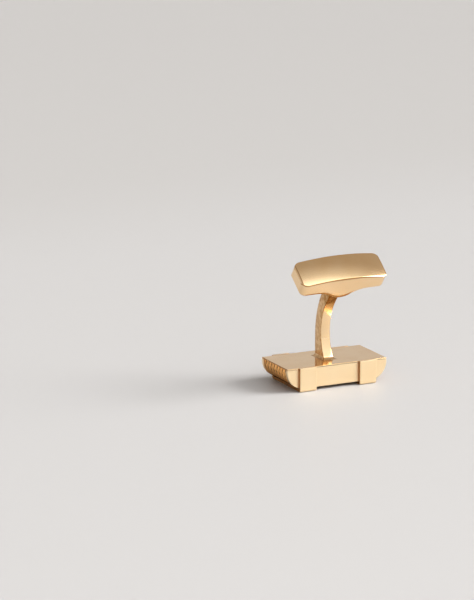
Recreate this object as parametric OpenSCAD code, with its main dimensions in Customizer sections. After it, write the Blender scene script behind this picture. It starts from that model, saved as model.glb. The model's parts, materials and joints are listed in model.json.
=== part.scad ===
// A rectangular cufflink lying on its face, with its post and whale-back toggle up.
// X runs along the head, Y across it, Z up. The origin is on the floor under the whole piece's middle.

/* [Head] */
// Length of the head
head_l = 20; // [17:0.5:24]
// Width of the head over its two side plates
head_w = 10.2; // [9:0.1:13]
// Height of the head from the front of the bands to the back plate
head_h = 4.4; // [4.3:0.1:5]
// Radius of the quarter round at each end
end_r = 3.2; // [2:0.1:3.3]
// Thickness of the side plates
side_t = 0.72; // [0.5:0.02:1]
// Thickness of the back plate's lip over the ends of the ropes
lip_t = 0.2; // [0.15:0.05:0.4]

/* [Bands] */
// Distance from the head's middle to the inner edge of a band
band_in = 4.35; // [3:0.05:5]
// Width of a band
band_w = 3.35; // [2.5:0.05:4]
// How far a band stands off the side plate
band_proud = 0.55; // [0.4:0.05:0.7]
// Thickness of a band over the front rims
band_front_t = 0.62; // [0.5:0.02:0.8]
// Bevel along a band's upright edges
band_bevel = 0.1; // [0.05:0.05:0.35]
// Radius of the turn from a band's side to its front
band_turn_r = 0.5; // [0.2:0.05:0.5]
// Width of the groove between the near and the far band
groove_w = 0.56; // [0.3:0.02:1]

/* [Ropes] */
// Number of ropes side by side
rope_count = 16; // [12:1:18]
// Depth of the ropes' crests below the rims
rope_recess = 0.12; // [0.05:0.01:0.2]
// Length of one strand's turn along the rope
strand_pitch = 2.07; // [1.5:0.01:2.5]
// Height of the ropes over their backing sheet
rope_relief = 0.3; // [0.2:0.01:0.35]
// Thickness of the backing sheet
sheet_t = 0.4; // [0.3:0.05:0.6]

/* [Post] */
// Width of the post along X
post_w = 1.9; // [1.5:0.05:2.2]
// Thickness of the post's straight end, between the toggle's cheeks
tongue_t = 2.4; // [2:0.05:2.8]
// Radius of the post's hollow front
post_front_r = 9; // [8.5:0.1:9.5]
// Radius of the post's round back
post_back_r = 14.5; // [13.5:0.1:15.5]
// Straight length of the post's front below the pin
front_straight = 4.35; // [4:0.05:5]
// Straight length of the post's back below the pin
back_straight = 3; // [2.8:0.05:4]
// Radius of the fillet at the post's foot
foot_r = 0.55; // [0.3:0.05:0.7]

/* [Toggle] */
// Distance of the pin behind the head's middle line, along Y
pin_y = -4; // [-4.5:0.05:-3.5]
// Height of the pin over the floor
pin_z = 18.95; // [18.5:0.05:19.5]
// Lean of the toggle towards the front of the post, in degrees
toggle_roll = 38; // [35:1:42]
// Turn of the toggle about its pin, as it rests, in degrees
toggle_turn = 1.5; // [-3:0.5:3]
// Length of the toggle
toggle_l = 16.5; // [16:0.1:18]
// Width of the toggle
toggle_w = 5.5; // [5:0.05:6]
// Radius of the toggle's back along its length
toggle_back_r = 38; // [34:1:44]
// Rise of the toggle's back across its width
toggle_crown = 0.16; // [0.1:0.02:0.5]
// Distance from the ends of the toggle's back down to the pin
pin_drop = 3.6; // [3.5:0.05:3.7]
// Distance from the ends of the toggle's back down to the wings' underside
wing_t = 2.5; // [2.3:0.05:2.5]
// Radius of the boss under the toggle
boss_r = 3; // [2.7:0.1:3.2]
// How far the boss reaches below the pin
boss_below = 0.7; // [0.65:0.05:1]
// Radius of the hollows beside the boss
flank_r = 5; // [4:0.1:6]
// Radius of the toggle's corners seen from above
toggle_corner_r = 1.25; // [0.6:0.05:1.4]
// Radius of the toggle's lower end corners
toggle_toe_r = 0.5; // [0.3:0.05:1]
// Bevel along the ends of the toggle's back
toggle_bevel = 0.2; // [0.1:0.05:0.4]
// Radius of the pin
pin_r = 0.4; // [0.3:0.05:0.45]
// Gap on each side of the post in the toggle's slot
slot_gap = 0.06; // [0.04:0.01:0.1]

/* [Fits] */
// Gap between pieces of the head
seat_gap = 0.03; // [0.02:0.01:0.06]
// Running gap between the pin and the post
pin_gap = 0.03; // [0.02:0.01:0.06]

/* [Hidden] */
$fn = 96;
gold = "#d9b271";
pale_gold = "#f0d29a";
deep_gold = "#c9954f";

// Longer than any cut needs
far = 30;
tiny = 0.01;

// Head
rim_z = band_front_t;
front_half = head_l / 2 - end_r;
channel_w = head_w - 2 * side_t;
panel_gap = 0.06;
panel_w = channel_w - 2 * panel_gap;
row_w = panel_w / rope_count;
arc_z = rim_z + end_r;
ropes_top_z = head_h - lip_t - seat_gap;
sheet_d = rope_recess + rope_relief;
core_d = sheet_d + sheet_t + seat_gap;

// Ropes: stations along the way down one end, along the front and up the other end
steps_per_pitch = 5;
cols_per_row = 4;
crest_r = end_r - sheet_d;
rise_l = ropes_top_z - arc_z;
turn_l = crest_r * PI / 2;
way_l = 2 * rise_l + 2 * turn_l + 2 * front_half;
stations = round(way_l / strand_pitch * steps_per_pitch);
cols = rope_count * cols_per_row;
strand_r = row_w * 0.29;
strand_throw = row_w * 0.21;
strand_lift = rope_relief - strand_r - strand_throw;

// Post and toggle
foot_z = head_h;
lean_v = [-cos(toggle_roll), -sin(toggle_roll)];
lean_n = [-sin(toggle_roll), cos(toggle_roll)];
pin_at = [pin_y, pin_z];
front_c = pin_at + tongue_t / 2 * lean_v - front_straight * lean_n + post_front_r * lean_v;
back_c = pin_at - tongue_t / 2 * lean_v - back_straight * lean_n + post_back_r * lean_v;
slot_w = tongue_t + 2 * slot_gap;
tip_r = post_w / 2;
tip_clear = 0.12;
toggle_end_drop = toggle_l * toggle_l / 8 / toggle_back_r;
boss_c = pin_drop + boss_below - boss_r;
flank_y = tiny - wing_t - flank_r;
flank_reach = boss_r + flank_r - tiny;
flank_dx = sqrt(pow(flank_reach, 2) - pow(boss_c + flank_y, 2));
boss_meet_y = (flank_y + boss_c) * boss_r / flank_reach - boss_c;

// The head's middle line lies behind the origin, because the toggle leans out over the head's front
front_reach = toggle_w / 2 * cos(toggle_roll) + (pin_drop + toggle_end_drop) * sin(toggle_roll) - pin_y;
head_y = (front_reach - head_w / 2 - band_proud) / 2;

// Moves a piece that is drawn about the head's middle line to its place over the origin
module in_place() {
    translate([0, head_y, 0]) children();
}

// Outline of a side plate in X and Z: straight ends that round into the front rim, set in by d
module end_outline(d, top_z) {
    r = end_r - d;
    x = front_half;
    intersection() {
        union() {
            translate([-x - r, arc_z]) square([2 * (x + r), top_z - arc_z]);
            translate([-x, arc_z - r]) square([2 * x, r + tiny]);
            for (s = [-1, 1]) translate([s * x, arc_z]) circle(r);
        }
        translate([-far, arc_z - r]) square([2 * far, top_z - arc_z + r]);
    }
}

// Turns an outline in X and Z into a plate of thickness t that starts at y
module plate_xz(y, t) {
    translate([0, y + t, 0]) rotate([90, 0, 0]) linear_extrude(t) children();
}

// The tray: two side plates with round ends, the core behind the ropes and the back plate
module tray() {
    difference() {
        plate_xz(-head_w / 2, head_w) end_outline(0, head_h);
        plate_xz(-channel_w / 2, channel_w) difference() {
            translate([-far, head_h - lip_t - far]) square([2 * far, far]);
            end_outline(core_d, head_h);
        }
    }
}

// Places a side view at the pin, with its Y along the post's straight end
module in_tongue() {
    translate(pin_at) rotate(toggle_roll) children();
}

// Side view of the post in Y and Z: a hollow front arc, a round back arc and a straight tongue
module post_outline() {
    difference() {
        union() {
            intersection() {
                translate(back_c) circle(post_back_r, $fn = 200);
                translate([-far, foot_z - tiny]) square([2 * far, far]);
                in_tongue() translate([-far, tiny - far - back_straight]) square([2 * far, far]);
            }
            translate([front_c[0], foot_z - tiny])
                square([back_c[0] + post_back_r - front_c[0], back_c[1] - foot_z]);
            in_tongue() translate([-tongue_t / 2, -back_straight]) square([tongue_t, back_straight]);
        }
        translate(front_c) circle(post_front_r, $fn = 200);
        in_tongue() translate([-tongue_t / 2 - far, -front_straight]) square([far, far]);
        in_tongue() translate([tongue_t / 2, -back_straight]) square([far, far]);
    }
}

// Turns an outline in Y and Z into a plate of thickness t, centred on X
module plate_yz(t) {
    rotate([90, 0, 90]) translate([0, 0, -t / 2]) linear_extrude(t) children();
}

// Places its children at the pin, with their Y along the pin and their Z out of the toggle's back
module at_pin() {
    translate([0, pin_y, pin_z]) rotate([toggle_roll, 0, 0]) children();
}

// A cylinder along Y of the pin's frame, centred
module cross_bar(r, l) {
    rotate([90, 0, 0]) cylinder(r = r, h = l, center = true);
}

// The hollow fillet round the post's foot, on its four sides
module foot_fillet() {
    front_y = front_c[0] + sqrt(pow(post_front_r, 2) - pow(foot_z + foot_r - front_c[1], 2));
    back_y = back_c[0] + post_back_r;
    difference() {
        translate([-post_w / 2 - foot_r, front_y - foot_r, foot_z - tiny])
            cube([post_w + 2 * foot_r, back_y - front_y + 2 * foot_r, foot_r + tiny]);
        for (s = [-1, 1])
            translate([s * (post_w / 2 + foot_r), 0, foot_z + foot_r])
                rotate([90, 0, 0]) cylinder(r = foot_r, h = far, center = true);
        for (y = [front_y - foot_r, back_y + foot_r])
            translate([0, y, foot_z + foot_r])
                rotate([0, 90, 0]) cylinder(r = foot_r, h = far, center = true);
    }
}

// The curved post with its round end and the hole for the pin
module post() {
    difference() {
        union() {
            plate_yz(post_w) post_outline();
            at_pin() cross_bar(tip_r, tongue_t);
            foot_fillet();
        }
        at_pin() cross_bar(pin_r + pin_gap, far);
    }
}

module head_case() {
    color(gold) in_place() union() {
        tray();
        post();
    }
}

// Way of the ropes' backing at distance s: its place in X and Z and its outward direction
function way_point(s) =
    let(r = crest_r, x = front_half, t1 = s - rise_l, t2 = t1 - turn_l, t3 = t2 - 2 * x, t4 = t3 - turn_l)
    t1 < 0 ? [[-x - r, arc_z - t1], [-1, 0]] :
    t2 < 0 ? let(a = 180 + t1 / r * 180 / PI) [[-x + r * cos(a), arc_z + r * sin(a)], [cos(a), sin(a)]] :
    t3 < 0 ? [[t2 - x, arc_z - r], [0, -1]] :
    t4 < 0 ? let(a = 270 + t3 / r * 180 / PI) [[x + r * cos(a), arc_z + r * sin(a)], [cos(a), sin(a)]] :
    [[x + r, arc_z + t4], [1, 0]];

// Height of one round strand over the backing, at distance y from the rope's middle
function strand_height(y, phase) =
    let(dy = y + strand_throw * cos(phase), q = strand_r * strand_r - dy * dy)
    q <= 0 ? 0 : strand_lift + strand_throw * sin(phase) + sqrt(q);

// Height of the two twisted strands of a rope. Each rope runs half a turn behind its neighbour.
function rope_height(s, col) =
    let(row = floor(col / cols_per_row), k = col - row * cols_per_row,
        y = (k / cols_per_row - 0.5) * row_w, a = 180 * s / strand_pitch + 90 * (row % 2))
    k == 0 || s <= 0 || s >= way_l ? 0 : max(0.02, strand_height(y, a), strand_height(y, a + 180));

// A point of the panel: over the backing by h, at station i and column j
function panel_point(i, j, h) =
    let(w = way_point(i * way_l / stations), p = w[0] + h * w[1])
    [p[0], -panel_w / 2 + j * row_w / cols_per_row, p[1]];

// Two-strand ropes side by side, raised on one bent sheet
module rope_panel() {
    n = cols + 1;
    m = (stations + 1) * n;
    crest = [for (i = [0 : stations]) for (j = [0 : cols])
        panel_point(i, j, rope_height(i * way_l / stations, j))];
    back = [for (i = [0 : stations]) for (j = [0, cols]) panel_point(i, j, -sheet_t)];
    top_faces = [for (i = [0 : stations - 1]) for (j = [0 : cols - 1])
        let(a = i * n + j, b = a + 1, c = a + n, d = c + 1) each [[a, c, b], [b, c, d]]];
    back_faces = [for (i = [0 : stations - 1])
        let(a = m + 2 * i) each [[a, a + 1, a + 2], [a + 1, a + 3, a + 2]]];
    side_faces = [for (i = [0 : stations - 1])
        let(a = i * n, b = a + n, c = m + 2 * i, e = a + cols, f = e + n, g = c + 1)
        each [[a, c, b], [b, c, c + 2], [e, f, g], [f, g + 2, g]]];
    first_end = concat([[m, cols, m + 1]], [for (j = [0 : cols - 1]) [m, j, j + 1]]);
    last = stations * n;
    z = m + 2 * stations;
    last_end = concat([[z, z + 1, last + cols]], [for (j = [0 : cols - 1]) [z, last + j + 1, last + j]]);
    color(deep_gold) in_place()
        polyhedron(concat(crest, back), concat(top_faces, back_faces, side_faces, first_end, last_end));
}

// Section of a band in Y and Z: a side leg and half of the front, rounded where it turns
module band_section() {
    outer = head_w / 2 + band_proud;
    inner = head_w / 2 + seat_gap;
    difference() {
        union() {
            translate([groove_w / 2, 0]) square([outer - band_turn_r - groove_w / 2, head_h]);
            translate([groove_w / 2, band_turn_r]) square([outer - groove_w / 2, head_h - band_turn_r]);
            translate([outer - band_turn_r, band_turn_r]) circle(band_turn_r);
        }
        translate([-1, rim_z - seat_gap]) square([inner + 1, head_h]);
    }
}

// A band that starts at x, with its upright edges bevelled
module band(x) {
    outer = head_w / 2 + band_proud;
    b = band_bevel;
    intersection() {
        translate([x, 0, 0]) rotate([90, 0, 90]) linear_extrude(band_w) band_section();
        linear_extrude(head_h) polygon([[x, 0], [x, outer - b], [x + b, outer],
            [x + band_w - b, outer], [x + band_w, outer - b], [x + band_w, 0]]);
    }
}

module band_left_near() {
    color(pale_gold) in_place() mirror([1, 0, 0]) mirror([0, 1, 0]) band(band_in);
}

module band_left_far() {
    color(pale_gold) in_place() mirror([1, 0, 0]) band(band_in);
}

module band_right_near() {
    color(pale_gold) in_place() mirror([0, 1, 0]) band(band_in);
}

module band_right_far() {
    color(pale_gold) in_place() band(band_in);
}

// Side view of the toggle, with its boss and the hollows beside it. Zero is at the back's ends.
module toggle_outline() {
    half = toggle_l / 2 + 2 * tiny;
    low = toggle_toe_r - wing_t;
    top = half - toggle_bevel;
    difference() {
        union() {
            polygon([[-half, low], [half, low], [half, -toggle_bevel], [0, top], [-half, -toggle_bevel]]);
            translate([-half + toggle_toe_r, -wing_t]) square([2 * (half - toggle_toe_r), wing_t]);
            for (s = [-1, 1]) translate([s * (half - toggle_toe_r), -wing_t + toggle_toe_r])
                circle(toggle_toe_r);
            translate([0, -boss_c]) circle(boss_r);
            translate([-flank_dx, boss_meet_y]) square([2 * flank_dx, -boss_meet_y]);
        }
        for (s = [-1, 1]) translate([s * flank_dx, flank_y]) circle(flank_r);
    }
}

// Plan of the toggle with its rounded corners
module toggle_plan() {
    x = toggle_l / 2 - toggle_corner_r;
    y = toggle_w / 2 - toggle_corner_r;
    square([toggle_l, 2 * y], center = true);
    square([2 * x, toggle_w], center = true);
    for (sx = [-1, 1]) for (sy = [-1, 1]) translate([sx * x, sy * y]) circle(toggle_corner_r);
}

// The toggle's back: a barrel turned about an axis across the toggle
module back_barrel() {
    crown_r = toggle_w * toggle_w / 8 / toggle_crown + toggle_crown / 2;
    rim = toggle_back_r + toggle_crown;
    translate([0, 0, toggle_end_drop - toggle_back_r]) rotate([90, 0, 0])
        rotate_extrude($fn = 360) intersection() {
            translate([rim - crown_r, 0]) circle(crown_r, $fn = 360);
            translate([toggle_back_r / 2, -toggle_w]) square([toggle_back_r, 2 * toggle_w]);
        }
}

// Whale-back toggle: crowned back, two wings, and a boss whose two cheeks hold the post's end
module toggle() {
    color(gold) in_place() at_pin() rotate([0, -toggle_turn, 0]) difference() {
        translate([0, 0, pin_drop]) intersection() {
            translate([0, toggle_w / 2, 0]) rotate([90, 0, 0]) linear_extrude(toggle_w) toggle_outline();
            translate([0, 0, -far / 2]) linear_extrude(far) toggle_plan();
            back_barrel();
        }
        translate([-flank_dx, -slot_w / 2, -far]) cube([2 * flank_dx, slot_w, far + tip_r + tip_clear]);
        cross_bar(pin_r, far);
    }
}

// The pin through both cheeks, flush with them and pressed into them
module pivot_pin() {
    color(gold) in_place() at_pin() cross_bar(pin_r, toggle_w);
}

head_case();
rope_panel();
band_left_near();
band_left_far();
band_right_near();
band_right_far();
toggle();
pivot_pin();
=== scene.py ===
"""The visual model of a rectangular cufflink that lies on its face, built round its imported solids.

X runs along the head, Y across it and Z up. Each piece is a surface worked out with numpy in
metres, at the place that the frame's boxes and its joint give.
"""

import json
import math

import bmesh
import bpy
import numpy as np
from bpy.props import FloatProperty, FloatVectorProperty, IntProperty, PointerProperty
from mathutils import Matrix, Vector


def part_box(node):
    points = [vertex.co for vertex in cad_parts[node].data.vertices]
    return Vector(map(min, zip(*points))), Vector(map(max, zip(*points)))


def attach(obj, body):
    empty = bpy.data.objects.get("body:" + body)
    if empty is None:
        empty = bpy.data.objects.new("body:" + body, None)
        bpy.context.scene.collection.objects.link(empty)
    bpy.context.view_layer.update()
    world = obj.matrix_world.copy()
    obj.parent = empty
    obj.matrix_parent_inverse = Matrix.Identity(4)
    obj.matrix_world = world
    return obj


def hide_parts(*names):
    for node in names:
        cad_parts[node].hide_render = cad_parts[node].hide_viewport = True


bl_info = {
    "name": "Cufflink",
    "version": (1, 0, 0),
    "blender": (4, 5, 0),
    "location": "3D View > Sidebar > Cufflink",
    "description": "Builds a cufflink with a rope face, cross bands and a swivelling toggle",
    "category": "Add Mesh",
}

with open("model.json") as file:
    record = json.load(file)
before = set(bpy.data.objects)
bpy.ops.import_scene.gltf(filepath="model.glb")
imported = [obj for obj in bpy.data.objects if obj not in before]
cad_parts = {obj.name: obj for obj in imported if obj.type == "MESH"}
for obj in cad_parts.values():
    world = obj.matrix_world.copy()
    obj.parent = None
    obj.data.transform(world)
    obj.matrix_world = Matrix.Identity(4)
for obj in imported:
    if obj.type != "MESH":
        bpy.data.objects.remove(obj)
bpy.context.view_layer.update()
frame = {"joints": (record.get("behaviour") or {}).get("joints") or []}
MM = 0.001

# Scales of the noise textures, in features a metre
PATCHES, CLOUDS, LINES, SPOTS, GRAIN = 220.0, 350.0, 9000.0, 1300.0, 900.0

# Points on the quarter round of a small polished edge
EDGE_STEPS = 5

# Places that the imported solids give
CASE_LOW, CASE_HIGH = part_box("head_case")
PANEL_LOW, PANEL_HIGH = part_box("rope_panel")
BAND_LOW, BAND_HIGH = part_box("band_right_far")
NEAR_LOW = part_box("band_right_near")[0]
MIDDLE_Y = (NEAR_LOW[1] + BAND_HIGH[1]) / 2
PIN = np.array(frame["joints"][0]["pos_m"], float)
PIN_AXIS = np.array(frame["joints"][0]["axis"], float)


def a_length(name, description, value):
    """A length in metres, as a property."""
    return FloatProperty(name=name, description=description, default=value, precision=5,
                         subtype="DISTANCE", unit="LENGTH")


def an_angle(name, description, degrees):
    """An angle, as a property."""
    return FloatProperty(name=name, description=description, default=math.radians(degrees),
                         subtype="ANGLE", unit="ROTATION")


def a_colour(name, description, value):
    """A linear colour, as a property."""
    return FloatVectorProperty(name=name, description=description, default=value, size=3,
                               min=0.0, max=2.0, subtype="COLOR")


def a_number(name, description, value):
    """A number without a unit, as a property."""
    return FloatProperty(name=name, description=description, default=value, precision=3)


class HeadSizes(bpy.types.PropertyGroup):
    """The tray: back plate, side plates and the core behind the ropes."""
    length: a_length("Length", "Length of the head", CASE_HIGH[0] - CASE_LOW[0])
    width: a_length("Width", "Width over the two side plates", 10.2 * MM)
    rim: a_length("Rim", "Height of the side plates' front rims over the floor", CASE_LOW[2])
    height: a_length("Height", "Height of the back plate's face over the floor", BAND_HIGH[2])
    end_radius: a_length("End Radius", "Quarter round of the side plates' ends", 3.2 * MM)
    side: a_length("Side Plate", "Thickness of a side plate", 0.72 * MM)
    lip: a_length("Back Plate", "Thickness of the back plate", 0.2 * MM)
    core: a_length("Core Depth", "Depth of the core behind the side plates' outline", 0.85 * MM)
    corner: a_length("Corner", "Radius of the back plate's corners", 0.12 * MM)
    edge: a_length("Edge", "Radius of the polished edges", 0.05 * MM)
    seam: a_length("Seam", "Radius of the edges along the seam under the back plate", 0.02 * MM)


class BandSizes(bpy.types.PropertyGroup):
    """The four half bands."""
    start: a_length("Start", "Distance from the head's middle to a band", BAND_LOW[0])
    width: a_length("Width", "Width of a band", BAND_HIGH[0] - BAND_LOW[0])
    reach: a_length("Reach", "From the head's middle line to a band's outer face",
                    BAND_HIGH[1] - MIDDLE_Y)
    groove: a_length("Groove", "Half of the groove between the near and far band",
                     BAND_LOW[1] - MIDDLE_Y)
    leg: a_length("Leg", "Thickness of a band beside the head", 0.52 * MM)
    bend: a_length("Bend", "Thickness of a band round its turn", 0.48 * MM)
    front: a_length("Front", "Thickness of a band over the face", 0.59 * MM)
    turn: a_length("Turn", "Radius where a band turns on to the face", 0.5 * MM)
    bevel: a_length("Bevel", "Bevel along both sides of a band", 0.1 * MM)
    edge: a_length("Edge", "Radius of the polished edges", 0.03 * MM)


class RopeSizes(bpy.types.PropertyGroup):
    """The two-strand ropes of the face."""
    count: IntProperty(name="Ropes", description="Ropes side by side", default=16)
    pitch: a_length("Pitch", "Length of one strand's half turn", 2.07 * MM)
    relief: a_length("Relief", "Height of the ropes over their sheet", 0.3 * MM)
    recess: a_length("Recess", "Depth of the crests below the rims", 0.12 * MM)
    sheet: a_length("Sheet", "Thickness of the sheet behind the ropes", 0.4 * MM)
    least: a_length("Least", "Least height of the ropes over their sheet", 0.02 * MM)
    # Painted shade in the grooves between the strands: darkest up to dark, then fading over fade.
    dark: a_number("Dark", "Height up to which a groove is darkest, in reliefs", 0.3)
    fade: a_number("Fade", "Rise from there to the bright crests, in reliefs", 0.25)
    strand: a_number("Strand", "Radius of a strand, in rope widths", 0.29)
    throw: a_number("Throw", "Distance from a strand to its rope's middle, in rope widths", 0.21)
    across: IntProperty(name="Across", description="Columns of the grid in a rope", default=12)
    along: IntProperty(name="Along", description="Rows of the grid in a pitch", default=22)


class PostSizes(bpy.types.PropertyGroup):
    """The curved post."""
    width: a_length("Width", "Width along X", 1.9 * MM)
    tongue: a_length("Tongue", "Thickness of the straight end", 2.4 * MM)
    front_radius: a_length("Front Radius", "Radius of the hollow front", 9.0 * MM)
    back_radius: a_length("Back Radius", "Radius of the round back", 14.5 * MM)
    front_straight: a_length("Front Straight", "Straight length of the front", 4.35 * MM)
    back_straight: a_length("Back Straight", "Straight length of the back", 3.0 * MM)
    foot: a_length("Foot", "Radius of the fillet at the foot", 0.55 * MM)
    edge: a_length("Edge", "Radius of the polished edges", 0.12 * MM)
    shade: a_length("Shade", "Distance below the pin to which the toggle shades the post",
                    4.25 * MM)
    fade: a_length("Fade", "Length over which that shade fades out", 0.3 * MM)


class ToggleSizes(bpy.types.PropertyGroup):
    """The whale-back toggle and its pin."""
    length: a_length("Length", "Length of the toggle", 16.85 * MM)
    width: a_length("Width", "Width of the toggle", 5.5 * MM)
    turn: an_angle("Turn", "Turn about the pin, as it rests", 1.5)
    back_radius: a_length("Back Radius", "Radius of the back along its length", 38.0 * MM)
    crown: a_length("Crown", "Rise of the back across its width", 0.16 * MM)
    end_rise: a_length("End Rise", "Height of the back's ends over the pin", 3.6 * MM)
    wing: a_length("Wing", "Thickness of the wings at their ends", 2.5 * MM)
    boss: a_length("Boss", "Radius of the boss", 3.0 * MM)
    boss_below: a_length("Boss Below", "Reach of the boss below the pin", 0.7 * MM)
    flank: a_length("Flank", "Radius of the hollows beside the boss", 5.0 * MM)
    corner: a_length("Corner", "Radius of the corners seen from above", 1.25 * MM)
    toe: a_length("Toe", "Radius of the lower edges of the ends", 0.5 * MM)
    shoulder: a_length("Shoulder", "Radius of the upper edges of the ends", 0.34 * MM)
    slot: a_length("Slot", "Width of the slot for the post", 2.52 * MM)
    slot_top: a_length("Slot Top", "Height of the slot's end over the pin", 1.07 * MM)
    edge: a_length("Edge", "Radius of the polished edges", 0.1 * MM)
    pin: a_length("Pin", "Radius of the pin", 0.4 * MM)
    pin_edge: a_length("Pin Edge", "Radius of the pin's edges", 0.02 * MM)
    proud: a_length("Proud", "How far the pin's ends stand out of the toggle", 0.004 * MM)


class GoldFinish(bpy.types.PropertyGroup):
    """Colours and polish of the gold, some of them painted light and shade."""
    bright: a_colour("Bright Gold", "Colour of the polished gold", (0.96, 0.69, 0.4))
    warm: a_colour("Warm Gold", "Colour of the thin patches in the polish", (0.93, 0.64, 0.34))
    # Painted light: the walls' gold is a paler copy of the bright gold, for their washed-out sheen.
    wall: a_colour("Wall Gold", "Colour of the side plates and the bands", (0.93, 0.72, 0.45))
    wall_warm: a_colour("Warm Wall Gold", "Colour of the thin patches on them", (0.92, 0.69, 0.41))
    # Painted shade: the ropes' gold is a deeper copy, for the warm dark reflections in the face.
    rope: a_colour("Rope Gold", "Colour of the ropes' crests", (1.0, 0.55, 0.2))
    rope_warm: a_colour("Warm Rope Gold", "Colour of the patches on them", (0.97, 0.47, 0.14))
    # Painted shade: the grooves between the strands are darkened to this colour.
    groove: a_colour("Groove Gold", "Colour deep between the strands", (0.1, 0.028, 0.004))
    # Painted shade: the post's flat sides, mottled, and its top under the toggle take this colour.
    side: a_colour("Side Gold", "Colour of the post's flat sides", (0.42, 0.19, 0.035))
    # Painted shade: the bands' sides and thin dark lines on the toggle's and the plate's edges.
    line: a_colour("Line Gold", "Colour of the bands' sides, and of the thin lines round the"
                   " toggle's back and along the plate's ends", (0.42, 0.19, 0.05))
    mirror: a_number("Mirror Polish", "Roughness of the plate, the post and the toggle", 0.12)
    satin: a_number("Wall Polish", "Roughness of the side plates and the bands", 0.36)
    cast: a_number("Rope Polish", "Roughness of the ropes", 0.32)


class StageSettings(bpy.types.PropertyGroup):
    """Floor, light and camera."""
    paper: a_colour("Paper", "Colour of the paper", (0.372, 0.365, 0.361))
    far_paper: a_colour("Far Paper", "Colour of its far part, which falls off from the light",
                        (0.353, 0.344, 0.336))
    horizon: a_colour("Horizon", "Colour of the light tent at the table", (0.62, 0.6, 0.595))
    ceiling: a_colour("Ceiling", "Colour of the light tent overhead", (0.42, 0.37, 0.32))
    window: a_colour("Window", "Colour of the bright side in front of the table", (1.2, 1.23, 1.26))
    sill: a_colour("Sill", "Colour of that side's lowest part", (1.0, 1.0, 1.0))
    strip: a_colour("Strip", "Colour of the brightest strip, high in front", (1.9, 1.9, 1.9))
    lamp: a_number("Lamp", "Brightness of the lamp's middle", 28.4)
    lamp_azimuth: an_angle("Lamp Azimuth", "Turn of the lamp about the object", 66.0)
    lamp_elevation: an_angle("Lamp Elevation", "Height of the lamp, as an angle", 30.0)
    lamp_spread: an_angle("Lamp Spread", "Angle from the lamp's middle to its faded rim", 22.0)
    azimuth: an_angle("Azimuth", "Turn of the camera about the object", -26.0)
    elevation: an_angle("Elevation", "Height of the camera over the table, as an angle", 13.6)
    distance: a_length("Distance", "Distance from the camera to the head", 541.5 * MM)
    aside: a_length("Aside", "How far the head stands from the picture's middle, across", 15.7 * MM)
    below: a_length("Below", "How far the head stands from the picture's middle, up", -14.57 * MM)
    lens: a_number("Lens", "Focal length in millimetres on a 36 mm sensor", 180.0)


# Mesh tools

def unit(vectors):
    """Each vector divided by its own length."""
    return vectors / np.linalg.norm(vectors, axis=-1, keepdims=True)


def rounded_outline(corners, radii, steps):
    """A closed convex outline with rounded corners: its points and their outward directions.

    Each corner is replaced by an arc that touches both of its sides. The arc's middle lies on the
    corner's halving line, at the radius over the sine of half the corner's angle. A direction at
    share k of the arc is the first one times the sine of 1 - k of its angle, plus the last one
    times the sine of k of it, over the sine of all of it.
    """
    corners = np.asarray(corners, float)
    radii = np.broadcast_to(np.asarray(radii, float), len(corners))[:, None]
    before = unit(np.roll(corners, 1, 0) - corners)
    after = unit(np.roll(corners, -1, 0) - corners)
    half = np.arccos(np.clip((before * after).sum(1), -1, 1))[:, None] / 2
    middle = corners + unit(before + after) * radii / np.sin(half)
    first = unit(corners + before * radii / np.tan(half) - middle)[:, None]
    last = unit(corners + after * radii / np.tan(half) - middle)[:, None]
    angle = (np.pi - 2 * half)[:, None]
    k = np.linspace(0, 1, steps)[None, :, None]
    outward = (np.sin((1 - k) * angle) * first + np.sin(k * angle) * last) / np.sin(angle)
    points = middle[:, None] + radii[:, None] * outward
    return points.reshape(-1, 2), outward.reshape(-1, 2)


def slab(outline, outward, low, high, low_edge, high_edge):
    """A plate between two heights, as rings of (first, second, height).

    The outline stands still between its edges. Along an edge it draws in by the radius times one
    minus the sine of k, at a height of the radius times one minus the cosine of k from the face,
    with k from zero to a quarter turn.
    """
    k = np.linspace(0, np.pi / 2, EDGE_STEPS)
    inset = np.concatenate([low_edge * (1 - np.sin(k)), high_edge * (1 - np.sin(k[::-1]))])
    height = np.concatenate([low + low_edge * (1 - np.cos(k)),
                             high - high_edge * (1 - np.cos(k[::-1]))])
    flat = outline[None] - inset[:, None, None] * outward[None]
    return np.concatenate([flat, np.broadcast_to(height[:, None, None], flat.shape[:2] + (1,))], 2)


def rectangle_rings(half_wide, half_deep, radius):
    """Both coordinates of rounded rectangles: a quarter circle of the radius at each corner."""
    k = np.linspace(0, np.pi / 2, EDGE_STEPS)
    angle = (np.arange(4)[:, None] * np.pi / 2 + k).ravel()
    signs = np.array([[1, 1], [-1, 1], [-1, -1], [1, -1]]).repeat(EDGE_STEPS, 0)
    across = signs[:, 0] * (half_wide - radius)[:, None] + radius[:, None] * np.cos(angle)
    deep = signs[:, 1] * (half_deep - radius)[:, None] + radius[:, None] * np.sin(angle)
    return across, deep


def ring_faces(rings, points):
    """Corners of the quads between neighbouring closed rings."""
    ring, point = np.meshgrid(np.arange(rings - 1), np.arange(points), indexing="ij")
    a = ring * points + point
    b = ring * points + (point + 1) % points
    return np.stack([a, b, b + points, a + points], -1).reshape(-1, 4)


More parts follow.
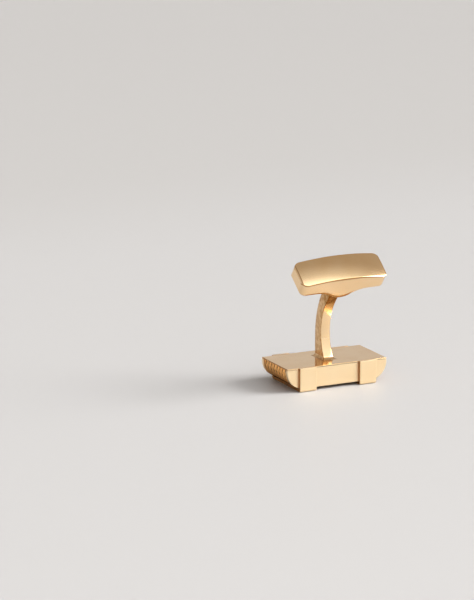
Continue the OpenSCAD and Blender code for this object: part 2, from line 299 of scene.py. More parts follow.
def add_piece(name, rings, finish, node, body="head", sharp=40.0,
              values=None):
    """Makes an object of closed rings, with a flat face on the first and on the last ring.

    It stands for the node and rides on the body. Edges that turn by more than sharp, in degrees,
    stay sharp. values, where given, holds one number a point: the share of the finish's second
    colour.
    """
    count, points = rings.shape[:2]
    last = (count - 1) * points
    faces = ring_faces(count, points).tolist()
    faces += [list(range(points)), list(range(last, last + points))]
    mesh = bpy.data.meshes.new(name)
    mesh.from_pydata(rings.reshape(-1, 3).tolist(), [], faces)
    if values is not None:
        mesh.attributes.new("second", "FLOAT", "POINT").data.foreach_set("value", values.ravel())
    shape = bmesh.new()
    shape.from_mesh(mesh)
    bmesh.ops.remove_doubles(shape, verts=shape.verts, dist=1e-7)
    bmesh.ops.dissolve_degenerate(shape, edges=shape.edges, dist=1e-8)
    bmesh.ops.recalc_face_normals(shape, faces=shape.faces)
    shape.to_mesh(mesh)
    shape.free()
    mesh.polygons.foreach_set("use_smooth", np.ones(len(mesh.polygons), bool))
    mesh.set_sharp_from_angle(angle=math.radians(sharp))
    piece = bpy.data.objects.new(name, mesh)
    bpy.context.scene.collection.objects.link(piece)
    weights = piece.modifiers.new("Face Weights", "WEIGHTED_NORMAL")
    weights.keep_sharp = True
    mesh.materials.append(bpy.data.materials[finish])
    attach(piece, body)
    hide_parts(node)


# Materials

def add_node(tree, kind, inputs=None, **settings):
    """A node with its settings and inputs. An input is a value, or the socket that feeds it."""
    made = tree.nodes.new(kind)
    for key, value in settings.items():
        setattr(made, key, value)
    for key, value in (inputs or {}).items():
        if isinstance(value, bpy.types.NodeSocket):
            tree.links.new(value, made.inputs[key])
        else:
            made.inputs[key].default_value = value
    return made


def group_of(name, inputs, outputs):
    """An empty node group with named sockets: its tree, its input node and its output node."""
    tree = bpy.data.node_groups.new(name, "ShaderNodeTree")
    for label, kind in inputs:
        tree.interface.new_socket(name=label, in_out="INPUT", socket_type="NodeSocket" + kind)
    for label, kind in outputs:
        tree.interface.new_socket(name=label, in_out="OUTPUT", socket_type="NodeSocket" + kind)
    return tree, tree.nodes.new("NodeGroupInput"), tree.nodes.new("NodeGroupOutput")


def make_polish_group():
    """Polish: cloudy roughness, and a height of broad waves and fine hand-rubbed lines."""
    tree, given, result = group_of(
        "Hand Polish",
        [("Coordinates", "Vector"), ("Roughness", "Float"), ("Clouding", "Float"),
         ("Cloud Scale", "Float"), ("Line Scale", "Float"), ("Line Strength", "Float")],
        [("Roughness", "Float"), ("Height", "Float")])
    place = given.outputs["Coordinates"]
    clouds = noise(tree, place, given.outputs["Cloud Scale"], 3.0)
    uneven = calculated(tree, "MULTIPLY", calculated(tree, "SUBTRACT", clouds, 0.5),
                        given.outputs["Clouding"])
    rough = calculated(tree, "ADD", uneven, given.outputs["Roughness"], use_clamp=True)
    stretch = (0.08, 1.0, 1.0)
    stretched = add_node(tree, "ShaderNodeVectorMath", {0: place, 1: stretch},
                         operation="MULTIPLY").outputs[0]
    lines = noise(tree, stretched, given.outputs["Line Scale"], 2.0)
    fine = calculated(tree, "MULTIPLY", lines, given.outputs["Line Strength"])
    tree.links.new(rough, result.inputs["Roughness"])
    tree.links.new(calculated(tree, "ADD", fine, clouds), result.inputs["Height"])


def make_tone_group():
    """Tone: the gold's colour drifts between two tones in soft patches."""
    tree, given, result = group_of(
        "Gold Tone",
        [("Coordinates", "Vector"), ("Bright", "Color"), ("Warm", "Color"),
         ("Patch Scale", "Float")],
        [("Colour", "Color")])
    patches = noise(tree, given.outputs["Coordinates"], given.outputs["Patch Scale"], 4.0)
    spread = add_node(tree, "ShaderNodeMapRange", {
        "Value": patches, "From Min": 0.35, "From Max": 0.75})
    mixed = mix_colours(tree, spread.outputs["Result"], given.outputs["Bright"],
                        given.outputs["Warm"])
    tree.links.new(mixed, result.inputs["Colour"])


def noise(tree, place, scale, detail):
    """A noise texture at a place, as a socket."""
    return add_node(tree, "ShaderNodeTexNoise", {
        "Vector": place, "Scale": scale, "Detail": detail}).outputs["Fac"]


def calculated(tree, operation, first, second, **settings):
    """The result of a sum, a difference or a product, as a socket."""
    return add_node(tree, "ShaderNodeMath", {0: first, 1: second}, operation=operation,
                    **settings).outputs[0]


def mix_colours(tree, factor, first, second):
    """The colour between two, as a socket."""
    made = tree.nodes.new("ShaderNodeMix")
    made.data_type = "RGBA"
    colours = [s for s in made.inputs if s.type == "RGBA"]
    for socket, value in zip([made.inputs[0]] + colours, (factor, first, second)):
        if isinstance(value, bpy.types.NodeSocket):
            tree.links.new(value, socket)
        else:
            socket.default_value = value
    return [s for s in made.outputs if s.type == "RGBA"][0]


def smooth_share(tree, value, low, high):
    """A share that rises smoothly from nought at low to one at high, as a socket."""
    return add_node(tree, "ShaderNodeMapRange", {"Value": value, "From Min": low, "From Max": high},
                    interpolation_type="SMOOTHSTEP").outputs["Result"]


def with_alpha(rgb):
    """A colour with full alpha."""
    return (*rgb, 1.0)


def with_group(tree, name, place, values):
    """A node of the named group, at a place and with its other inputs' values."""
    made = add_node(tree, "ShaderNodeGroup", node_tree=bpy.data.node_groups[name])
    tree.links.new(place, made.inputs["Coordinates"])
    for label, value in values.items():
        made.inputs[label].default_value = value
    return made


def gold_material(name, tones, roughness, clouding, lines, bump, second=None, mottle=0.0):
    """A gold finish: the tone and polish groups on Object coordinates, and a metal shader.

    tones are the bright and the warm colour, clouding is how far the roughness drifts, lines the
    strength of the rubbed lines beside the broad waves, and bump the strength of both. A second
    colour, a painted shade, shows where the mesh's attribute of that name says, and mottle thins it
    in spots.
    """
    material = bpy.data.materials.new(name)
    material.use_nodes = True
    tree = material.node_tree
    shader = tree.nodes["Principled BSDF"]
    place = add_node(tree, "ShaderNodeTexCoord").outputs["Object"]
    tone = with_group(tree, "Gold Tone", place, {
        "Bright": with_alpha(tones[0]), "Warm": with_alpha(tones[1]), "Patch Scale": PATCHES})
    polish = with_group(tree, "Hand Polish", place, {
        "Roughness": roughness, "Clouding": clouding, "Cloud Scale": CLOUDS, "Line Scale": LINES,
        "Line Strength": lines})
    relief = add_node(tree, "ShaderNodeBump", {
        "Strength": bump, "Distance": 0.02 * MM, "Height": polish.outputs["Height"]})
    final = tone.outputs["Colour"]
    if second:
        mask = add_node(tree, "ShaderNodeAttribute", attribute_name="second")
        spots = add_node(tree, "ShaderNodeMapRange", {
            "Value": noise(tree, place, SPOTS, 3.0), "From Min": 0.42, "From Max": 0.58,
            "To Min": 1.0 - mottle})
        thinned = calculated(tree, "MULTIPLY", mask.outputs["Fac"], spots.outputs["Result"])
        final = mix_colours(tree, thinned, final, with_alpha(second))
    tree.links.new(final, shader.inputs["Base Color"])
    tree.links.new(polish.outputs["Roughness"], shader.inputs["Roughness"])
    tree.links.new(relief.outputs["Normal"], shader.inputs["Normal"])
    shader.inputs["Metallic"].default_value = 1.0


# Operators

class CUFFLINK_OT_finishes(bpy.types.Operator):
    """Makes the node groups and the gold finishes"""
    bl_idname = "cufflink.finishes"
    bl_label = "Gold Finishes"

    def execute(self, context):
        gold = context.scene.cufflink_gold
        make_polish_group()
        make_tone_group()
        polished = {"tones": (gold.bright, gold.warm), "roughness": gold.mirror}
        fine = {**polished, "clouding": 0.05, "lines": 0.15, "bump": 0.12}
        satin = {"tones": (gold.wall, gold.wall_warm), "roughness": gold.satin,
                 "clouding": 0.06, "lines": 0.4, "bump": 0.2}
        gold_material("mirror_gold", **fine)
        gold_material("wall_gold", **satin)
        # The second colours are painted shade on sides, edges, the post's top and the rope grooves.
        gold_material("band_gold", **satin, second=gold.line)
        gold_material("back_gold", **fine, second=gold.line)
        gold_material("post_gold", **polished, clouding=0.2, lines=0.3, bump=0.3,
                      second=gold.side, mottle=0.45)
        gold_material("twisted_gold", (gold.rope, gold.rope_warm), gold.cast, clouding=0.1,
                      lines=0.3, bump=0.3, second=gold.groove)
        return {"FINISHED"}


def end_outline(head, inset, top, steps):
    """The head's side view in X and Z: two upper corners and two quarter rounds.

    It is drawn in by inset all round, apart from the top.
    """
    x = head.length / 2 - inset
    low = head.rim + inset
    sharp = 0.002 * MM
    radius = head.end_radius - inset
    return rounded_outline([(-x, low), (x, low), (x, top), (-x, top)],
                           [radius, radius, sharp, sharp], steps)


def upright(rings):
    """Rings of (x, z, y) as rings of (x, y, z)."""
    return rings[..., [0, 2, 1]]


def painted_end_shade(plate):
    """The second colour's share on the back plate, a painted shade: one along the borders of its
    two end faces.

    They lie between the outline's second and third corner, and between its last and its first.
    """
    values = np.zeros(plate.shape[:2])
    borders = [0, 2 * EDGE_STEPS - 1, 2 * EDGE_STEPS, 4 * EDGE_STEPS - 1]
    values[EDGE_STEPS - 1:2 * EDGE_STEPS - 1, borders] = 1
    return values


class CUFFLINK_OT_head(bpy.types.Operator):
    """Makes the tray: the back plate, two side plates and the core behind the ropes"""
    bl_idname = "cufflink.head"
    bl_label = "Head"

    def execute(self, context):
        head = context.scene.cufflink_head
        x, y = head.length / 2, head.width / 2
        plate_low = head.height - head.lip
        corners = [(-x, MIDDLE_Y - y), (x, MIDDLE_Y - y), (x, MIDDLE_Y + y), (-x, MIDDLE_Y + y)]
        outline, outward = rounded_outline(corners, head.corner, EDGE_STEPS)
        plate = slab(outline, outward, plate_low, head.height, head.seam, head.edge)
        add_piece("back_plate", plate, "back_gold", "head_case", values=painted_end_shade(plate))
        outline, outward = end_outline(head, inset=0.0, top=plate_low, steps=28)
        inner = head.width / 2 - head.side
        for name, start in (("near", MIDDLE_Y - y), ("far", MIDDLE_Y + inner)):
            plate = slab(outline, outward, start, start + head.side, head.edge, head.edge)
            add_piece("side_plate_" + name, upright(plate), "wall_gold", "head_case")
        outline, outward = end_outline(head, inset=head.core, top=plate_low, steps=20)
        core = slab(outline, outward, MIDDLE_Y - inner, MIDDLE_Y + inner, low_edge=0.0,
                    high_edge=0.0)
        add_piece("rope_tray", upright(core), "wall_gold", "head_case")
        return {"FINISHED"}


def band_rings(band, head, start, side):
    """A half band that starts at x, carried down the head's side and over its face.

    The section is a plate with two bevelled upper corners. Its path is a straight leg, a quarter
    circle and a straight front, and a point lies at the path, less its depth times the outward
    direction. At both ends the section draws in by a quarter circle. Also gives the share of the
    second colour, a painted shade, which is one on the section's two sides.
    """
    edge, wide, bevel, leg = band.edge, band.width, band.bevel, band.leg
    ends, straight, turns = 4, 3, 10  # rings on a rounded end, on a straight part and in the bend
    section, outward = rounded_outline(
        [(0, leg), (0, bevel), (bevel, 0), (wide - bevel, 0), (wide, bevel), (wide, leg)],
        edge, steps=4)
    k = np.linspace(0, np.pi / 2, ends)
    bend = np.linspace(0, np.pi / 2, turns + 1)[1:]
    below_top = 0.999  # keeps the leg's first ring clear of the rounded end's last
    leg_z = band.turn + np.linspace(below_top, 0, straight) * (head.height - band.turn - edge)
    front_y = np.linspace(band.reach - band.turn, band.groove + edge, straight + 1)[1:]
    top_z = head.height - edge * (1 - np.cos(k))
    end_y = band.groove + edge * (1 - np.cos(k[::-1]))
    rows = ends + straight
    y = np.concatenate([np.full(rows, band.reach),
                        band.reach - band.turn + band.turn * np.cos(bend), front_y, end_y])
    z = np.concatenate([top_z, leg_z, band.turn - band.turn * np.sin(bend), np.zeros(rows)])
    ny = np.concatenate([np.ones(rows), np.cos(bend), np.zeros(rows)])
    nz = np.concatenate([np.zeros(rows), -np.sin(bend), -np.ones(rows)])
    thick = np.repeat([leg, band.bend, band.front], [rows, turns, rows])
    inset = np.concatenate([edge * (1 - np.sin(k)), np.zeros(2 * straight + turns),
                            edge * (1 - np.sin(k[::-1]))])
    across = section[None, :, 0] - inset[:, None] * outward[None, :, 0]
    depth = section[None, :, 1]
    inner_face = depth > 1.2 * bevel
    deep = (np.where(inner_face, thick[:, None] + depth - leg, depth)
            - inset[:, None] * outward[None, :, 1])
    rings = np.stack([start + across,
                      MIDDLE_Y + side * (y[:, None] - deep * ny[:, None]),
                      z[:, None] - deep * nz[:, None]], 2)
    # Painted shade on the band's two sides.
    sides = (inset[:, None] < edge) & (depth > bevel)
    return rings, sides.astype(float)


class CUFFLINK_OT_bands(bpy.types.Operator):
    """Makes the four half bands that hold the ropes"""
    bl_idname = "cufflink.bands"
    bl_label = "Bands"

    def execute(self, context):
        band, head = context.scene.cufflink_band, context.scene.cufflink_head
        for end, start in (("left", -band.start - band.width), ("right", band.start)):
            for row, side in (("near", -1), ("far", 1)):
                rings, sides = band_rings(band, head, start, side)
                add_piece(f"cross_band_{end}_{row}", rings, "band_gold", f"band_{end}_{row}",
                          sharp=32.0, values=sides)
        return {"FINISHED"}


def rope_way(head, rope, s):
    """The way of the ropes' sheet at distance s, as X, Z and its outward direction.

    It runs straight down one end, round a quarter circle, along the face, round another and up.
    The distance past a part's start is the radius times the angle in a quarter circle, and a shift
    of the circle's middle elsewhere.
    """
    r = head.end_radius - rope.recess - rope.relief
    x = head.length / 2 - head.end_radius
    arc_z = head.rim + head.end_radius
    rise = PANEL_HIGH[2] - arc_z
    bend = r * np.pi / 2
    past_rise, past_bend = s - rise, s - rise - bend
    past_face, past_turn = past_bend - 2 * x, past_bend - 2 * x - bend
    left = s < rise + bend
    angle = np.where(left, np.pi + np.clip(past_rise, 0, bend) / r,
                     1.5 * np.pi + np.clip(past_face, 0, bend) / r)
    out_x, out_z = np.cos(angle), np.sin(angle)
    shift = np.where(left, -x, np.where(past_face < 0, past_bend - x, x))
    way_x = shift + r * out_x
    way_z = arc_z + r * out_z - np.minimum(past_rise, 0) + np.maximum(past_turn, 0)
    return way_x, way_z, out_x, out_z


def rope_height(rope, width, way, s, across):
    """Height of two strands wound about each other, over the sheet.

    A strand is a round rod whose middle swings by the throw, as a cosine across and a sine up, once
    in two pitches. The second strand is half a turn behind it, and each rope a quarter turn
    from its neighbour.
    """
    row = np.minimum(np.floor(across / width), rope.count - 1)
    y = across - (row + 0.5) * width
    turned = np.pi * s / rope.pitch + np.pi / 2 * (row % 2)
    radius, throw = rope.strand * width, rope.throw * width
    lift = rope.relief - radius - throw
    tops = []
    for phase in (0.0, np.pi):
        off = y + throw * np.cos(turned + phase)
        round_top = np.sqrt(np.maximum(radius ** 2 - off ** 2, 0))
        tops.append(np.where(round_top > 0, lift + throw * np.sin(turned + phase) + round_top, 0))
    height = np.maximum(np.maximum(*tops), rope.least)
    edge = np.isclose(np.abs(y), width / 2)
    return np.where(edge | (s <= 0) | (s >= way), 0, height)


class CUFFLINK_OT_ropes(bpy.types.Operator):
    """Makes the panel of twisted ropes"""
    bl_idname = "cufflink.ropes"
    bl_label = "Ropes"

    def execute(self, context):
        rope, head = context.scene.cufflink_rope, context.scene.cufflink_head
        panel = PANEL_HIGH[1] - PANEL_LOW[1]
        width = panel / rope.count
        r = head.end_radius - rope.recess - rope.relief
        rise = PANEL_HIGH[2] - head.rim - head.end_radius
        way = 2 * rise + np.pi * r + head.length - 2 * head.end_radius
        steps = round(way / rope.pitch * rope.along)
        s = np.linspace(0, way, steps + 1)[:, None]
        across = np.linspace(0, panel, rope.count * rope.across + 1)[None]
        height = rope_height(rope, width, way, s, across)
        x, z, out_x, out_z = rope_way(head, rope, s)
        top = np.stack([x + height * out_x, PANEL_LOW[1] + across + 0 * s,
                        z + height * out_z], 2)
        edges = np.array([[panel, 0.0]])
        under = np.stack([x - rope.sheet * out_x + 0 * edges, PANEL_LOW[1] + edges + 0 * s,
                          z - rope.sheet * out_z + 0 * edges], 2)
        rings = np.concatenate([top, under], 1)
        # Painted shade: the grooves between the strands darken, fading out towards the crests.
        depth = 1 - np.clip((height / rope.relief - rope.dark) / rope.fade, 0, 1)
        depth = np.concatenate([depth, np.ones((len(s), 2))], 1)
        add_piece("twisted_ropes", rings, "twisted_gold", "rope_panel",
                  sharp=75.0, values=depth)
        return {"FINISHED"}


class CUFFLINK_OT_post(bpy.types.Operator):
    """Makes the curved post with its fillet at the foot"""
    bl_idname = "cufflink.post"
    bl_label = "Post"

    def execute(self, context):
        post, head = context.scene.cufflink_post, context.scene.cufflink_head
        rings = post_rings(post, head.height)
        # Painted shade: the post's top under the toggle and its flat sides are darkened in the
        # colour.
        below_pin = PIN[2] - rings[..., 2]
        shaded = np.clip((post.shade - below_pin) / post.fade, 0, 1)
        add_piece("curved_post", rings, "post_gold", "head_case", sharp=50.0,
                  values=np.maximum(painted_side_shade(rings.shape[1]), shaded))
        return {"FINISHED"}


def painted_side_shade(points, flat=0.7):
    """The share of the second colour, a painted shade, round a rounded rectangle, at each point.

    It is the given share on the two sides, one round the corners and nought on the front and back.
    """
    last = points // 4 - 1
    corner, step = np.divmod(np.arange(points), last + 1)
    to_side = np.where(corner % 2 == 0, step, last - step)
    return np.where(to_side == 0, flat, np.where(to_side == last, 0.0, 1.0))


def post_rings(post, foot_z):
    """Rounded rectangles from the foot to the tip, each from the hollow front to the round back.

    The front is an arc and a straight line, the back a line, an arc and a straight line, and
    both are walked in equal shares of their length. Over the pin the width falls as a half circle,
    and at the foot all four sides flare by a hollow quarter circle.
    """
    ahead = np.array([-PIN_AXIS[1], -PIN_AXIS[2]])
    up = np.array([-PIN_AXIS[2], PIN_AXIS[1]])
    lean = math.atan2(PIN_AXIS[2], PIN_AXIS[1])
    pin = PIN[1:]
    half = post.tongue / 2
    front_c = pin + (half + post.front_radius) * ahead - post.front_straight * up
    back_c = pin - (half - post.back_radius) * ahead - post.back_straight * up
    foot_rings, rings, tip_rings = 16, 70, 12
    foot_part = 0.06  # the share of the length where the fillet needs close rings
    part = np.concatenate([np.linspace(0, foot_part, foot_rings)[:-1],
                           np.linspace(foot_part, 1, rings)])[:, None]
    start = math.asin((foot_z - front_c[1]) / post.front_radius)
    arc = post.front_radius * (lean - start)
    s = part * (arc + post.front_straight)
    angle = start + np.minimum(s, arc) / post.front_radius
    front = front_c + post.front_radius * np.hstack([np.cos(angle), np.sin(angle)])
    front = front + np.maximum(s - arc, 0) * up
    plumb = back_c[1] - foot_z
    arc = post.back_radius * lean
    s = part * (plumb + arc + post.back_straight)
    angle = np.clip(s - plumb, 0, arc) / post.back_radius
    back = back_c + post.back_radius * np.hstack([np.cos(angle), np.sin(angle)])
    back = (back + np.minimum(s - plumb, 0) * np.array([0, 1])
            + np.maximum(s - plumb - arc, 0) * up)
    k = np.linspace(0, np.pi / 2, tip_rings)[1:, None]
    rise = post.width / 2 * np.sin(k) * up
    front = np.concatenate([front, front[-1] + rise])
    back = np.concatenate([back, back[-1] + rise])
    least = 0.03 * MM  # keeps the tip's last ring open
    wide = np.concatenate([np.full(len(part), post.width / 2),
                           np.maximum(post.width / 2 * np.cos(k[:, 0]), least)])

    def flare(z):
        """How far a side stands out at height z."""
        rest = post.foot - np.clip(z - foot_z, 0, post.foot)
        return post.foot - np.sqrt(post.foot ** 2 - rest ** 2)

    across = unit(back - front)
    front = front - flare(front[:, 1])[:, None] * across
    back = back + flare(back[:, 1])[:, None] * across
    wide = wide + flare((front[:, 1] + back[:, 1]) / 2)
    deep = np.linalg.norm(back - front, axis=1) / 2
    roundest = 0.9  # the most of half the width that an edge takes
    x, q = rectangle_rings(wide, deep, np.minimum(post.edge, roundest * wide))
    middle = (front + back) / 2
    place = middle[:, None] + q[..., None] * across[:, None]
    return np.stack([x, place[..., 0], place[..., 1]], 2)


def toggle_under(toggle, x):
    """Height of the toggle's underside over the pin at distance x from its middle.

    It is a boss, then a hollow quarter beside it that the boss touches, a level wing and a toe.
    """
    x = np.abs(x)
    boss_z = toggle.boss - toggle.boss_below
    wing_z = toggle.end_rise - toggle.wing
    hollow_z = wing_z - toggle.flank
    reach = toggle.boss + toggle.flank
    hollow_x = math.sqrt(reach ** 2 - (boss_z - hollow_z) ** 2)
    meet_x = hollow_x * toggle.boss / reach
    boss = boss_z - np.sqrt(np.maximum(toggle.boss ** 2 - x ** 2, 0))
    hollow = hollow_z + np.sqrt(np.maximum(toggle.flank ** 2 - (x - hollow_x) ** 2, 0))
    over = np.maximum(x - toggle.length / 2 + toggle.toe, 0)
    wing = wing_z + toggle.toe - np.sqrt(np.maximum(toggle.toe ** 2 - over ** 2, 0))
    return np.where(x < meet_x, boss, np.where(x < hollow_x, hollow, wing))


def toggle_rings(toggle):
    """Closed sections across the toggle, one at each distance x from its middle.

    The back is a barrel: its height is the barrel's radius at y squared, less x squared, under
    a root, and it falls to both ends as a quarter round of the shoulder's radius. The sides stand
    at half the width and draw in round the corners. The underside is toggle_under(), with the
    slot for the post cut into it. The long edges are quarter rounds. Also gives the share of the
    second colour, a painted shade: one on a thin dark line round the back, where its edge turns
    into the walls.
    """
    e, low_e = toggle.edge, 0.5 * toggle.edge
    tail_rings, body_rings, crown_steps, edge_steps, low_steps = 18, 90, 14, 6, 4
    half = toggle.length / 2
    k = np.linspace(0, np.pi / 2, tail_rings)
    tail = half - toggle.corner + toggle.corner * np.sin(k)
    body = np.linspace(0, half - toggle.corner, body_rings)[:-1]
    right = np.concatenate([body, tail])
    x = np.concatenate([-right[:0:-1], right])
    beyond = np.maximum(np.abs(x) - half + toggle.corner, 0)
    wide = (toggle.width / 2 - toggle.corner
            + np.sqrt(np.maximum(toggle.corner ** 2 - beyond ** 2, 0)))
    crown_r = toggle.width ** 2 / 8 / toggle.crown + toggle.crown / 2
    rim = toggle.back_radius + toggle.crown
    drop = toggle.length ** 2 / 8 / toggle.back_radius
    low = toggle.end_rise + drop - toggle.back_radius

    def back(at_x, y):
        """Height of the barrel over the pin."""
        radius = rim - crown_r + np.sqrt(crown_r ** 2 - y ** 2)
        return low + np.sqrt(radius ** 2 - at_x ** 2)

    round_off = toggle.shoulder
    fall = round_off - np.sqrt(np.maximum(
        round_off ** 2 - np.maximum(np.abs(x) - half + round_off, 0) ** 2, 0))
    least_wall = 1.6 * e
    under = np.minimum(toggle_under(toggle, x), back(x, wide) - fall - least_wall)
    arc = np.linspace(0, np.pi / 2, edge_steps)
    low_arc = np.linspace(0, np.pi / 2, low_steps)
    crown_y = (wide - e)[:, None] * np.linspace(0, 1, crown_steps)
    crown_z = back(x[:, None], crown_y) - fall[:, None]
    edge_z = back(x, wide - e)[:, None] - fall[:, None]
    arc_y = (wide - e)[:, None] + e * np.sin(arc)[None]
    arc_z = edge_z - e * (1 - np.cos(arc))[None]
    down_wall = np.array([[0.03, 0.08, 0.5, 0.85]])  # shares of the way down the wall
    wall_top, wall_low = edge_z - e, under[:, None] + low_e
    wall_z = wall_top + (wall_low - wall_top) * down_wall
    low_y = (wide - low_e)[:, None] + low_e * np.cos(low_arc)[None]
    low_z = under[:, None] + low_e - low_e * np.sin(low_arc)[None]
    slot = np.minimum(toggle.slot / 2, wide - 2 * low_e)[:, None]
    roof = np.maximum(toggle.slot_top, under)[:, None]
    y = np.concatenate([crown_y, arc_y[:, 1:], wide[:, None] + 0 * wall_z, low_y,
                        slot, slot, 0 * slot], 1)
    z = np.concatenate([crown_z, arc_z[:, 1:], wall_z, low_z, under[:, None], roof, roof], 1)
    y = np.concatenate([y, -y[:, -2:0:-1]], 1)
    z = np.concatenate([z, z[:, -2:0:-1]], 1)
    # Painted shade: thin dark lines along the back's edges and across it near both ends.
    line = np.zeros(y.shape)
    under_edge = np.arange(crown_steps + 2, crown_steps + edge_steps)
    line[1:-1, under_edge] = 1
    line[1:-1, -under_edge] = 1
    over_end = 0.8 * toggle.shoulder
    brow = np.abs(np.abs(x) - half + over_end).argmin()
    line[[brow, -1 - brow], :crown_steps + 1] = 1
    line[[brow, -1 - brow], -crown_steps:] = 1
    return np.stack([x[:, None] + 0 * y, y, z], 2), line


def at_pin(points, angle):
    """Points of the toggle's own frame, turned about the pin by angle and put in their place.

    The frame's second direction is the pin's axis, and its third points out of the back.
    """
    out = np.array([0.0, -PIN_AXIS[2], PIN_AXIS[1]])
    x = points[..., 0] * math.cos(angle) - points[..., 2] * math.sin(angle)
    z = points[..., 0] * math.sin(angle) + points[..., 2] * math.cos(angle)
    return (PIN + x[..., None] * np.array([1.0, 0.0, 0.0]) + points[..., 1:2] * PIN_AXIS
            + z[..., None] * out)


class CUFFLINK_OT_toggle(bpy.types.Operator):
    """Makes the whale-back toggle and the pin it swivels on"""
    bl_idname = "cufflink.toggle"
    bl_label = "Toggle"

    def execute(self, context):
        toggle = context.scene.cufflink_toggle
        rings, line = toggle_rings(toggle)
        add_piece("whale_back", at_pin(rings, toggle.turn), "back_gold", "toggle", body="toggle",
                  sharp=55.0, values=line)
        r, reach = toggle.pin, toggle.width / 2 + toggle.proud
        nearly_round = 0.999
        outline, outward = rounded_outline([(-r, -r), (r, -r), (r, r), (-r, r)],
                                           nearly_round * r, steps=12)
        pin = slab(outline, outward, -reach, reach, toggle.pin_edge, toggle.pin_edge)
        add_piece("toggle_pin", at_pin(upright(pin), toggle.turn), "mirror_gold", "pivot_pin",
                  body="toggle", sharp=50.0)
        return {"FINISHED"}


def area_light(name, aim, seen_from, distance, size, power):
    """A square soft box that looks at a point from a direction."""
    light = bpy.data.lights.new(name, "AREA")
    light.shape = "SQUARE"
    light.size = size
    light.energy = power
    lamp = bpy.data.objects.new(name, light)
    bpy.context.scene.collection.objects.link(lamp)
    back = unit(np.array(seen_from, float))
    right = unit(np.cross([0.0, 0.0, 1.0], back))
    up = np.cross(back, right)
    lamp.matrix_world = placed(right, up, back, np.array(aim) + distance * back)
    return lamp


def placed(right, up, back, where):
    """A matrix from three directions and a place."""
    return Matrix([[right[i], up[i], back[i], where[i]] for i in range(3)] + [[0, 0, 0, 1]])


def direction(azimuth, elevation):
    """The unit vector at a turn from the front, to the right, and a height over the table."""
    level = math.cos(elevation)
    return np.array([math.sin(azimuth) * level, -math.cos(azimuth) * level, math.sin(elevation)])


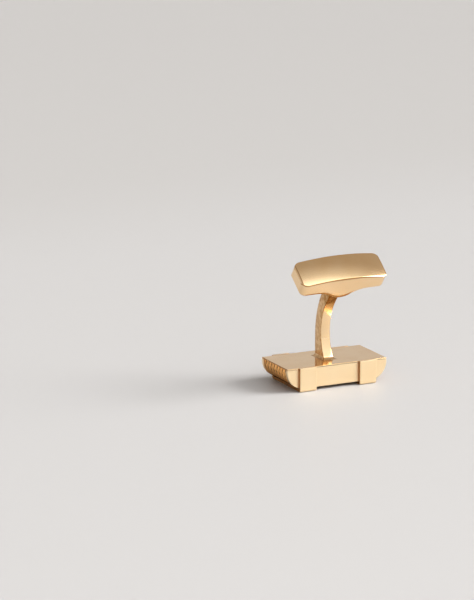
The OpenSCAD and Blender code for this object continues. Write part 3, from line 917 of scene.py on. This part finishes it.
class CUFFLINK_OT_stage(bpy.types.Operator):
    """Makes the floor, the light tent, the soft box over the table and the camera"""
    bl_idname = "cufflink.stage"
    bl_label = "Stage"

    def execute(self, context):
        stage = context.scene.cufflink_stage
        scene = context.scene
        scene.view_settings.view_transform = "Standard"
        self.make_floor(stage)
        self.make_tent(scene, stage)
        box = area_light("table_box", aim=(0.0, -0.04, 0.0), seen_from=(0.1, -0.58, 0.8),
                         distance=0.43, size=0.4, power=0.8)
        box.visible_glossy = False
        back = direction(stage.azimuth, stage.elevation)
        right = np.array([math.cos(stage.azimuth), math.sin(stage.azimuth), 0.0])
        up = np.cross(back, right)
        where = (np.array([0.0, MIDDLE_Y, 0.0]) - stage.aside * right - stage.below * up
                 + stage.distance * back)
        lens = bpy.data.cameras.new("photo_camera")
        lens.lens = stage.lens
        lens.sensor_width = 36.0
        lens.clip_start, lens.clip_end = 0.01, 50.0
        camera = bpy.data.objects.new("photo_camera", lens)
        scene.collection.objects.link(camera)
        camera.matrix_world = placed(right, up, back, where)
        scene.camera = camera
        return {"FINISHED"}

    def make_floor(self, stage):
        """A wide sheet of paper at height zero."""
        far = 3.0
        mesh = bpy.data.meshes.new("paper_floor")
        mesh.from_pydata([(-far, -far, 0), (far, -far, 0), (far, far, 0), (-far, far, 0)], [],
                         [(0, 1, 2, 3)])
        floor = bpy.data.objects.new("paper_floor", mesh)
        bpy.context.scene.collection.objects.link(floor)
        material = bpy.data.materials.new("paper")
        material.use_nodes = True
        tree = material.node_tree
        shader = tree.nodes["Principled BSDF"]
        place = add_node(tree, "ShaderNodeTexCoord").outputs["Object"]
        relief = add_node(tree, "ShaderNodeBump", {
            "Strength": 0.05, "Distance": 0.1 * MM, "Height": noise(tree, place, GRAIN, 4.0)})
        tree.links.new(relief.outputs["Normal"], shader.inputs["Normal"])
        parts = add_node(tree, "ShaderNodeSeparateXYZ", {"Vector": place})
        behind = smooth_share(tree, parts.outputs["Y"], low=0.1, high=0.2)
        tone = mix_colours(tree, behind, with_alpha(stage.paper), with_alpha(stage.far_paper))
        tree.links.new(tone, shader.inputs["Base Color"])
        shader.inputs["Roughness"].default_value = 0.55
        shader.inputs["Specular IOR Level"].default_value = 0.5
        mesh.materials.append(material)

    def make_tent(self, scene, stage):
        """A light tent: darker overhead than at the table's height, and bright in front of it.

        The window's share rises smoothly as a direction turns to the front, and fades to the left.
        A brighter strip lies high in front. The lamp is a patch that is brightest in its middle.
        """
        world = bpy.data.worlds.new("light_tent")
        world.use_nodes = True
        tree = world.node_tree
        place = add_node(tree, "ShaderNodeTexCoord").outputs["Object"]
        x, y, z = add_node(tree, "ShaderNodeSeparateXYZ", {"Vector": place}).outputs
        forward = calculated(tree, "MULTIPLY", y, -1.0)
        overhead = smooth_share(tree, z, low=0.2, high=0.8)
        tent = mix_colours(tree, overhead, with_alpha(stage.horizon), with_alpha(stage.ceiling))
        front = smooth_share(tree, forward, low=-0.08, high=0.46)
        right = smooth_share(tree, x, low=-0.9, high=0.3)
        over_sill = smooth_share(tree, z, low=0.05, high=0.6)
        pane = mix_colours(tree, over_sill, with_alpha(stage.sill), with_alpha(stage.window))
        lit = mix_colours(tree, calculated(tree, "MULTIPLY", front, right), tent, pane)
        ahead = smooth_share(tree, forward, low=0.17, high=0.34)
        above = smooth_share(tree, z, low=0.56, high=0.72)
        strip = calculated(tree, "MULTIPLY", ahead, above)
        lit = mix_colours(tree, strip, lit, with_alpha(stage.strip))
        lamp = tuple(direction(stage.lamp_azimuth, stage.lamp_elevation))
        near = add_node(tree, "ShaderNodeVectorMath", {0: place, 1: lamp},
                        operation="DOT_PRODUCT").outputs["Value"]
        glow = smooth_share(tree, near, low=math.cos(stage.lamp_spread), high=1.0)
        final = mix_colours(tree, glow, lit, with_alpha([stage.lamp] * 3))
        tree.links.new(final, tree.nodes["Background"].inputs["Color"])
        scene.world = world


class CUFFLINK_PT_panel(bpy.types.Panel):
    """Lists the pieces in the sidebar"""
    bl_idname = "CUFFLINK_PT_panel"
    bl_label = "Cufflink"
    bl_space_type = "VIEW_3D"
    bl_region_type = "UI"
    bl_category = "Cufflink"

    def draw(self, context):
        for operator in OPERATORS:
            self.layout.operator(operator.bl_idname)
        for name in SETTINGS:
            box = self.layout.box()
            settings = getattr(context.scene, name)
            for key in settings.__annotations__:
                box.prop(settings, key)


OPERATORS = (CUFFLINK_OT_finishes, CUFFLINK_OT_head, CUFFLINK_OT_bands, CUFFLINK_OT_ropes,
             CUFFLINK_OT_post, CUFFLINK_OT_toggle, CUFFLINK_OT_stage)
SETTINGS = {
    "cufflink_head": HeadSizes,
    "cufflink_band": BandSizes,
    "cufflink_rope": RopeSizes,
    "cufflink_post": PostSizes,
    "cufflink_toggle": ToggleSizes,
    "cufflink_gold": GoldFinish,
    "cufflink_stage": StageSettings,
}


def register():
    """Registers the settings, the operators and the panel."""
    for name, group in SETTINGS.items():
        bpy.utils.register_class(group)
        setattr(bpy.types.Scene, name, PointerProperty(type=group))
    for operator in OPERATORS:
        bpy.utils.register_class(operator)
    bpy.utils.register_class(CUFFLINK_PT_panel)


def unregister():
    """Takes the panel, the operators and the settings out again."""
    bpy.utils.unregister_class(CUFFLINK_PT_panel)
    for operator in reversed(OPERATORS):
        bpy.utils.unregister_class(operator)
    for name, group in reversed(list(SETTINGS.items())):
        delattr(bpy.types.Scene, name)
        bpy.utils.unregister_class(group)


def main():
    """Builds the cufflink and its stage."""
    register()
    bpy.ops.cufflink.finishes()
    bpy.ops.cufflink.head()
    bpy.ops.cufflink.bands()
    bpy.ops.cufflink.ropes()
    bpy.ops.cufflink.post()
    bpy.ops.cufflink.toggle()
    bpy.ops.cufflink.stage()


if __name__ == "__main__":
    main()
